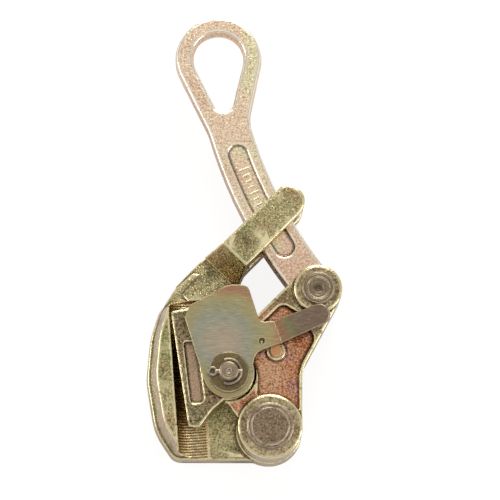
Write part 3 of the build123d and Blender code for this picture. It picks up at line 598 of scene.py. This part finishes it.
for node, finish in {
    "main_pivot_pin": main_pin_finish, "handle_pin": handle_pin_finish, "jaw_pin": jaw_pin_finish,
    "jaw_pin_washer": washer_finish, "gate_spacer_washer": washer_finish,
    "main_pin_back_washer": main_pin_finish, "handle_pin_back_washer": handle_pin_finish,
    "split_pin": split_finish, "gate_stop_stud": stud_finish, "detent_ball": ball_finish,
    "detent_spring": ball_finish, "gate_plate": gate_finish,
}.items():
    holder = frame["nodes"][node]
    holder.data.materials.clear()
    holder.data.materials.append(finish)
    print("finish on", node)

# %% [markdown]
# ## Forged skins
# A drop forging has no sharp edge anywhere: the die leaves a radius, shot-blasting softens it
# and the scale leaves shallow dents. Bevels on a CAD mesh are fussy, so the four forgings are
# copied, rebuilt as an even voxel mesh, smoothed a little and dented by slow noise along the
# normals, then thinned where they are flat. The CAD node is hidden and this skin stands for it.

# %% Geometry Nodes: shallow dents along the normals


# High crests get the pale edge colour, partly rubbed plating and partly a painted highlight; deep hollows get a
# painted shade.
CREST_UNIT = 0.00012        # how far an edge stands above its blurred neighbours


def dents_tree():
    tree = bpy.data.node_groups.new("forging_dents", "GeometryNodeTree")
    tree.interface.new_socket("Geometry", in_out="INPUT", socket_type="NodeSocketGeometry")
    for label, value in (("Depth", 0.0001), ("Size", 90.0)):
        socket = tree.interface.new_socket(label, in_out="INPUT", socket_type="NodeSocketFloat")
        socket.default_value = value
    tree.interface.new_socket("Finish", in_out="INPUT", socket_type="NodeSocketMaterial")
    tree.interface.new_socket("Geometry", in_out="OUTPUT", socket_type="NodeSocketGeometry")
    entry = tree.nodes.new("NodeGroupInput")
    leave = tree.nodes.new("NodeGroupOutput")
    noise = add(tree, "ShaderNodeTexNoise", {"Scale": entry.outputs["Size"], "Detail": 2.0})
    lower = add(tree, "ShaderNodeMath", {0: noise.outputs["Fac"], 1: 0.62}, operation="SUBTRACT")
    depth = add(tree, "ShaderNodeMath", {0: lower.outputs[0], 1: entry.outputs["Depth"]},
                operation="MULTIPLY")
    normal = add(tree, "GeometryNodeInputNormal")
    push = add(tree, "ShaderNodeVectorMath", {0: normal.outputs[0], "Scale": depth.outputs[0]},
               operation="SCALE")
    moved = add(tree, "GeometryNodeSetPosition", {
        "Geometry": entry.outputs["Geometry"], "Offset": push.outputs[0]})
    spot = add(tree, "GeometryNodeInputPosition")
    blurred = add(tree, "GeometryNodeBlurAttribute", {"Iterations": 7}, data_type="FLOAT_VECTOR")
    vector_in = [socket for socket in blurred.inputs if socket.enabled and socket.type == "VECTOR"][0]
    vector_out = [socket for socket in blurred.outputs if socket.enabled][0]
    tree.links.new(spot.outputs[0], vector_in)
    rise = add(tree, "ShaderNodeVectorMath", {0: spot.outputs[0], 1: vector_out}, operation="SUBTRACT")
    height = add(tree, "ShaderNodeVectorMath", {0: rise.outputs[0], 1: normal.outputs[0]},
                 operation="DOT_PRODUCT")
    scaled = add(tree, "ShaderNodeMath", {0: height.outputs["Value"], 1: CREST_UNIT}, operation="DIVIDE")
    marked = add(tree, "GeometryNodeStoreNamedAttribute", {
        "Geometry": moved.outputs[0], "Name": "crest", "Value": scaled.outputs[0]},
        data_type="FLOAT", domain="POINT")
    whole = add(tree, "GeometryNodeRealizeInstances", {"Geometry": marked.outputs[0]})
    smooth = add(tree, "GeometryNodeSetShadeSmooth", {"Geometry": whole.outputs[0]})
    finished = add(tree, "GeometryNodeSetMaterial", {
        "Geometry": smooth.outputs[0], "Material": entry.outputs["Finish"]})
    tree.links.new(finished.outputs[0], leave.inputs["Geometry"])
    return tree


def set_inputs(modifier, values):
    """Sets a Geometry Nodes modifier's inputs by their names' identifiers."""
    for item in modifier.node_group.interface.items_tree:
        if item.in_out == "INPUT" and item.name in values:
            modifier[item.identifier] = values[item.name]


def bake_modifiers(piece, name):
    """Turns an object with modifiers into a plain one."""
    mesh = bpy.data.meshes.new_from_object(piece.evaluated_get(bpy.context.evaluated_depsgraph_get()))
    mesh.name = name
    source = piece.data
    piece.modifiers.clear()
    piece.data = mesh
    bpy.data.meshes.remove(source)
    return piece


dents = dents_tree()
print("tree:", dents.name)

# %% Rebuild one forging
import bmesh

SKIN_LIMIT = 190000


def away_from_rope(point):
    """The distance from the rope's axis."""
    offset = point - ROPE_POINT
    return (offset - ROPE_WAY * offset.dot(ROPE_WAY)).length


def forged_skin(name, node, finish, body, voxel, smooth_steps, dent_depth):
    """A softened skin for one forging, riding on its body."""
    work = bmesh.new()
    work.from_mesh(frame["nodes"][node].data)
    bmesh.ops.remove_doubles(work, verts=work.verts, dist=2e-6)
    bmesh.ops.recalc_face_normals(work, faces=work.faces)
    mesh = bpy.data.meshes.new(name)
    work.to_mesh(mesh)
    work.free()
    piece = bpy.data.objects.new(name, mesh)
    bpy.context.collection.objects.link(piece)
    remesh = piece.modifiers.new("even_mesh", "REMESH")
    remesh.mode = "VOXEL"
    remesh.voxel_size = voxel
    remesh.use_smooth_shade = True
    bake_modifiers(piece, name)
    away_from_teeth = piece.vertex_groups.new(name="rounded")
    far = [v.index for v in piece.data.vertices if away_from_rope(v.co) > TEETH_REACH]
    away_from_teeth.add(far, 1.0, "REPLACE")
    soften = piece.modifiers.new("soften", "SMOOTH")
    soften.factor = 0.5
    soften.iterations = smooth_steps
    soften.vertex_group = away_from_teeth.name
    settle = piece.modifiers.new("settle", "SMOOTH")
    settle.factor = 0.4
    settle.iterations = 1
    bake_modifiers(piece, name)
    triangles = len(piece.data.polygons) * 2
    if triangles > SKIN_LIMIT:
        thin = piece.modifiers.new("thin", "DECIMATE")
        thin.ratio = SKIN_LIMIT / triangles
        bake_modifiers(piece, name)
    dent = piece.modifiers.new("dents", "NODES")
    dent.node_group = dents
    set_inputs(dent, {"Depth": dent_depth, "Size": 110.0, "Finish": finish})
    bake_modifiers(piece, name)
    piece.data.materials.clear()
    piece.data.materials.append(finish)
    piece.data.polygons.foreach_set("use_smooth", [True] * len(piece.data.polygons))
    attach(piece, body)
    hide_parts(node)
    crests = [item.value for item in piece.data.attributes["crest"].data]
    print(name, "faces:", len(piece.data.polygons), "crest:", round(min(crests), 2), round(max(crests), 2))
    return piece


VOXEL = 0.00042
DENT_DEPTH = 0.0004
forged_skin("body_skin", "body", body_finish, "frame", VOXEL, 8, DENT_DEPTH)
forged_skin("rocker_skin", "rocker", rocker_finish, "rocker_arm", VOXEL, 8, DENT_DEPTH)
forged_skin("pull_handle_skin", "pull_handle", handle_finish, "pull_bar",
            VOXEL, 7, DENT_DEPTH)
forged_skin("moving_jaw_skin", "moving_jaw", jaw_finish, "jaw", VOXEL, 6, DENT_DEPTH)

# %% [markdown]
# ## Plain scale marks in the bar's recess
# A row of raised ticks runs along the bar, every fourth one longer, as on a gauge. They follow
# the bar's curved centreline, so Geometry Nodes set one small rounded tick on each point of an
# arc. The arc's centre and radius are those of the bar's bend.

# %% One tick, with rounded edges
TICK_COUNT = 9
TICK_SPACING = 4.2 * MM
FIRST_TICK = 60 * MM
TICK_SIZE = Vector((7.0, 1.1, 1.1)) * MM
RECESS_DEPTH = 1.5 * MM
SUNK = 0.3 * MM
BEND_CENTRE = HANDLE_PIVOT + Vector((226.8, 189.0, 0)) * MM


def small_tick():
    work = bmesh.new()
    bmesh.ops.create_cube(work, size=1.0)
    bmesh.ops.scale(work, verts=work.verts, vec=TICK_SIZE)
    bmesh.ops.bevel(work, geom=work.edges, offset=0.3 * MM, segments=2, affect="EDGES", profile=0.5)
    mesh = bpy.data.meshes.new("tick")
    work.to_mesh(mesh)
    work.free()
    return bpy.data.objects.new("tick", mesh)


tick = small_tick()
print("tick faces:", len(tick.data.polygons))

# %% Geometry Nodes: ticks along an arc


def ticks_tree():
    tree = bpy.data.node_groups.new("ticks_along_bar", "GeometryNodeTree")
    tree.interface.new_socket("Geometry", in_out="INPUT", socket_type="NodeSocketGeometry")
    for label in ("Radius", "First Angle", "Angle Step"):
        tree.interface.new_socket(label, in_out="INPUT", socket_type="NodeSocketFloat")
    for label, kind in (("Centre", "NodeSocketVector"), ("Tick", "NodeSocketObject"),
                        ("Count", "NodeSocketInt"), ("Finish", "NodeSocketMaterial")):
        tree.interface.new_socket(label, in_out="INPUT", socket_type=kind)
    tree.interface.new_socket("Geometry", in_out="OUTPUT", socket_type="NodeSocketGeometry")
    entry = tree.nodes.new("NodeGroupInput")
    leave = tree.nodes.new("NodeGroupOutput")
    number = add(tree, "GeometryNodeInputIndex")
    angle = add(tree, "ShaderNodeMath", {
        0: number.outputs[0], 1: entry.outputs["Angle Step"], 2: entry.outputs["First Angle"]},
        operation="MULTIPLY_ADD")
    east = add(tree, "ShaderNodeMath", {0: angle.outputs[0]}, operation="COSINE")
    north = add(tree, "ShaderNodeMath", {0: angle.outputs[0]}, operation="SINE")
    way = add(tree, "ShaderNodeCombineXYZ", {"X": east.outputs[0], "Y": north.outputs[0]})
    out = add(tree, "ShaderNodeVectorMath", {0: way.outputs[0], "Scale": entry.outputs["Radius"]},
              operation="SCALE")
    spot = add(tree, "ShaderNodeVectorMath", {0: out.outputs[0], 1: entry.outputs["Centre"]},
               operation="ADD")
    points = add(tree, "GeometryNodePoints", {"Count": entry.outputs["Count"], "Position": spot.outputs[0]})
    turn = add(tree, "ShaderNodeCombineXYZ", {"Z": angle.outputs[0]})
    fourth = add(tree, "ShaderNodeMath", {0: number.outputs[0], 1: 4.0}, operation="MODULO")
    short = add(tree, "ShaderNodeMath", {0: fourth.outputs[0], 1: 0.5}, operation="GREATER_THAN")
    length = add(tree, "ShaderNodeMath", {0: short.outputs[0], 1: -0.4, 2: 1.0}, operation="MULTIPLY_ADD")
    stretch = add(tree, "ShaderNodeCombineXYZ", {"X": length.outputs[0], "Y": 1.0, "Z": 1.0})
    source = add(tree, "GeometryNodeObjectInfo", {"Object": entry.outputs["Tick"]})
    copies = add(tree, "GeometryNodeInstanceOnPoints", {
        "Points": points.outputs[0], "Instance": source.outputs["Geometry"], "Scale": stretch.outputs[0],
        "Rotation": turn.outputs[0]})
    real = add(tree, "GeometryNodeRealizeInstances", {"Geometry": copies.outputs[0]})
    finished = add(tree, "GeometryNodeSetMaterial", {
        "Geometry": real.outputs[0], "Material": entry.outputs["Finish"]})
    tree.links.new(finished.outputs[0], leave.inputs["Geometry"])
    return tree


# %% The ticks on the bar
tick_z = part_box("pull_handle")[1][2] - RECESS_DEPTH - SUNK + TICK_SIZE.z / 2
spoke = HANDLE_PIVOT - BEND_CENTRE
bend_radius = Vector((spoke.x, spoke.y)).length
bar_ticks = bpy.data.objects.new("bar_ticks", bpy.data.meshes.new("bar_ticks"))
bpy.context.collection.objects.link(bar_ticks)
row = bar_ticks.modifiers.new("row", "NODES")
row.node_group = ticks_tree()
set_inputs(row, {
    "Radius": bend_radius,
    "First Angle": math.atan2(spoke.y, spoke.x) - FIRST_TICK / bend_radius,
    "Angle Step": -TICK_SPACING / bend_radius,
    "Centre": (BEND_CENTRE.x, BEND_CENTRE.y, tick_z),
    "Tick": tick,
    "Count": TICK_COUNT,
    "Finish": tick_finish,
})
bake_modifiers(bar_ticks, "bar_ticks")
bpy.data.objects.remove(tick)
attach(bar_ticks, "pull_bar")
print("ticks:", TICK_COUNT, "faces:", len(bar_ticks.data.polygons))

# %% [markdown]
# ## Last cell

# %% Import json
import json
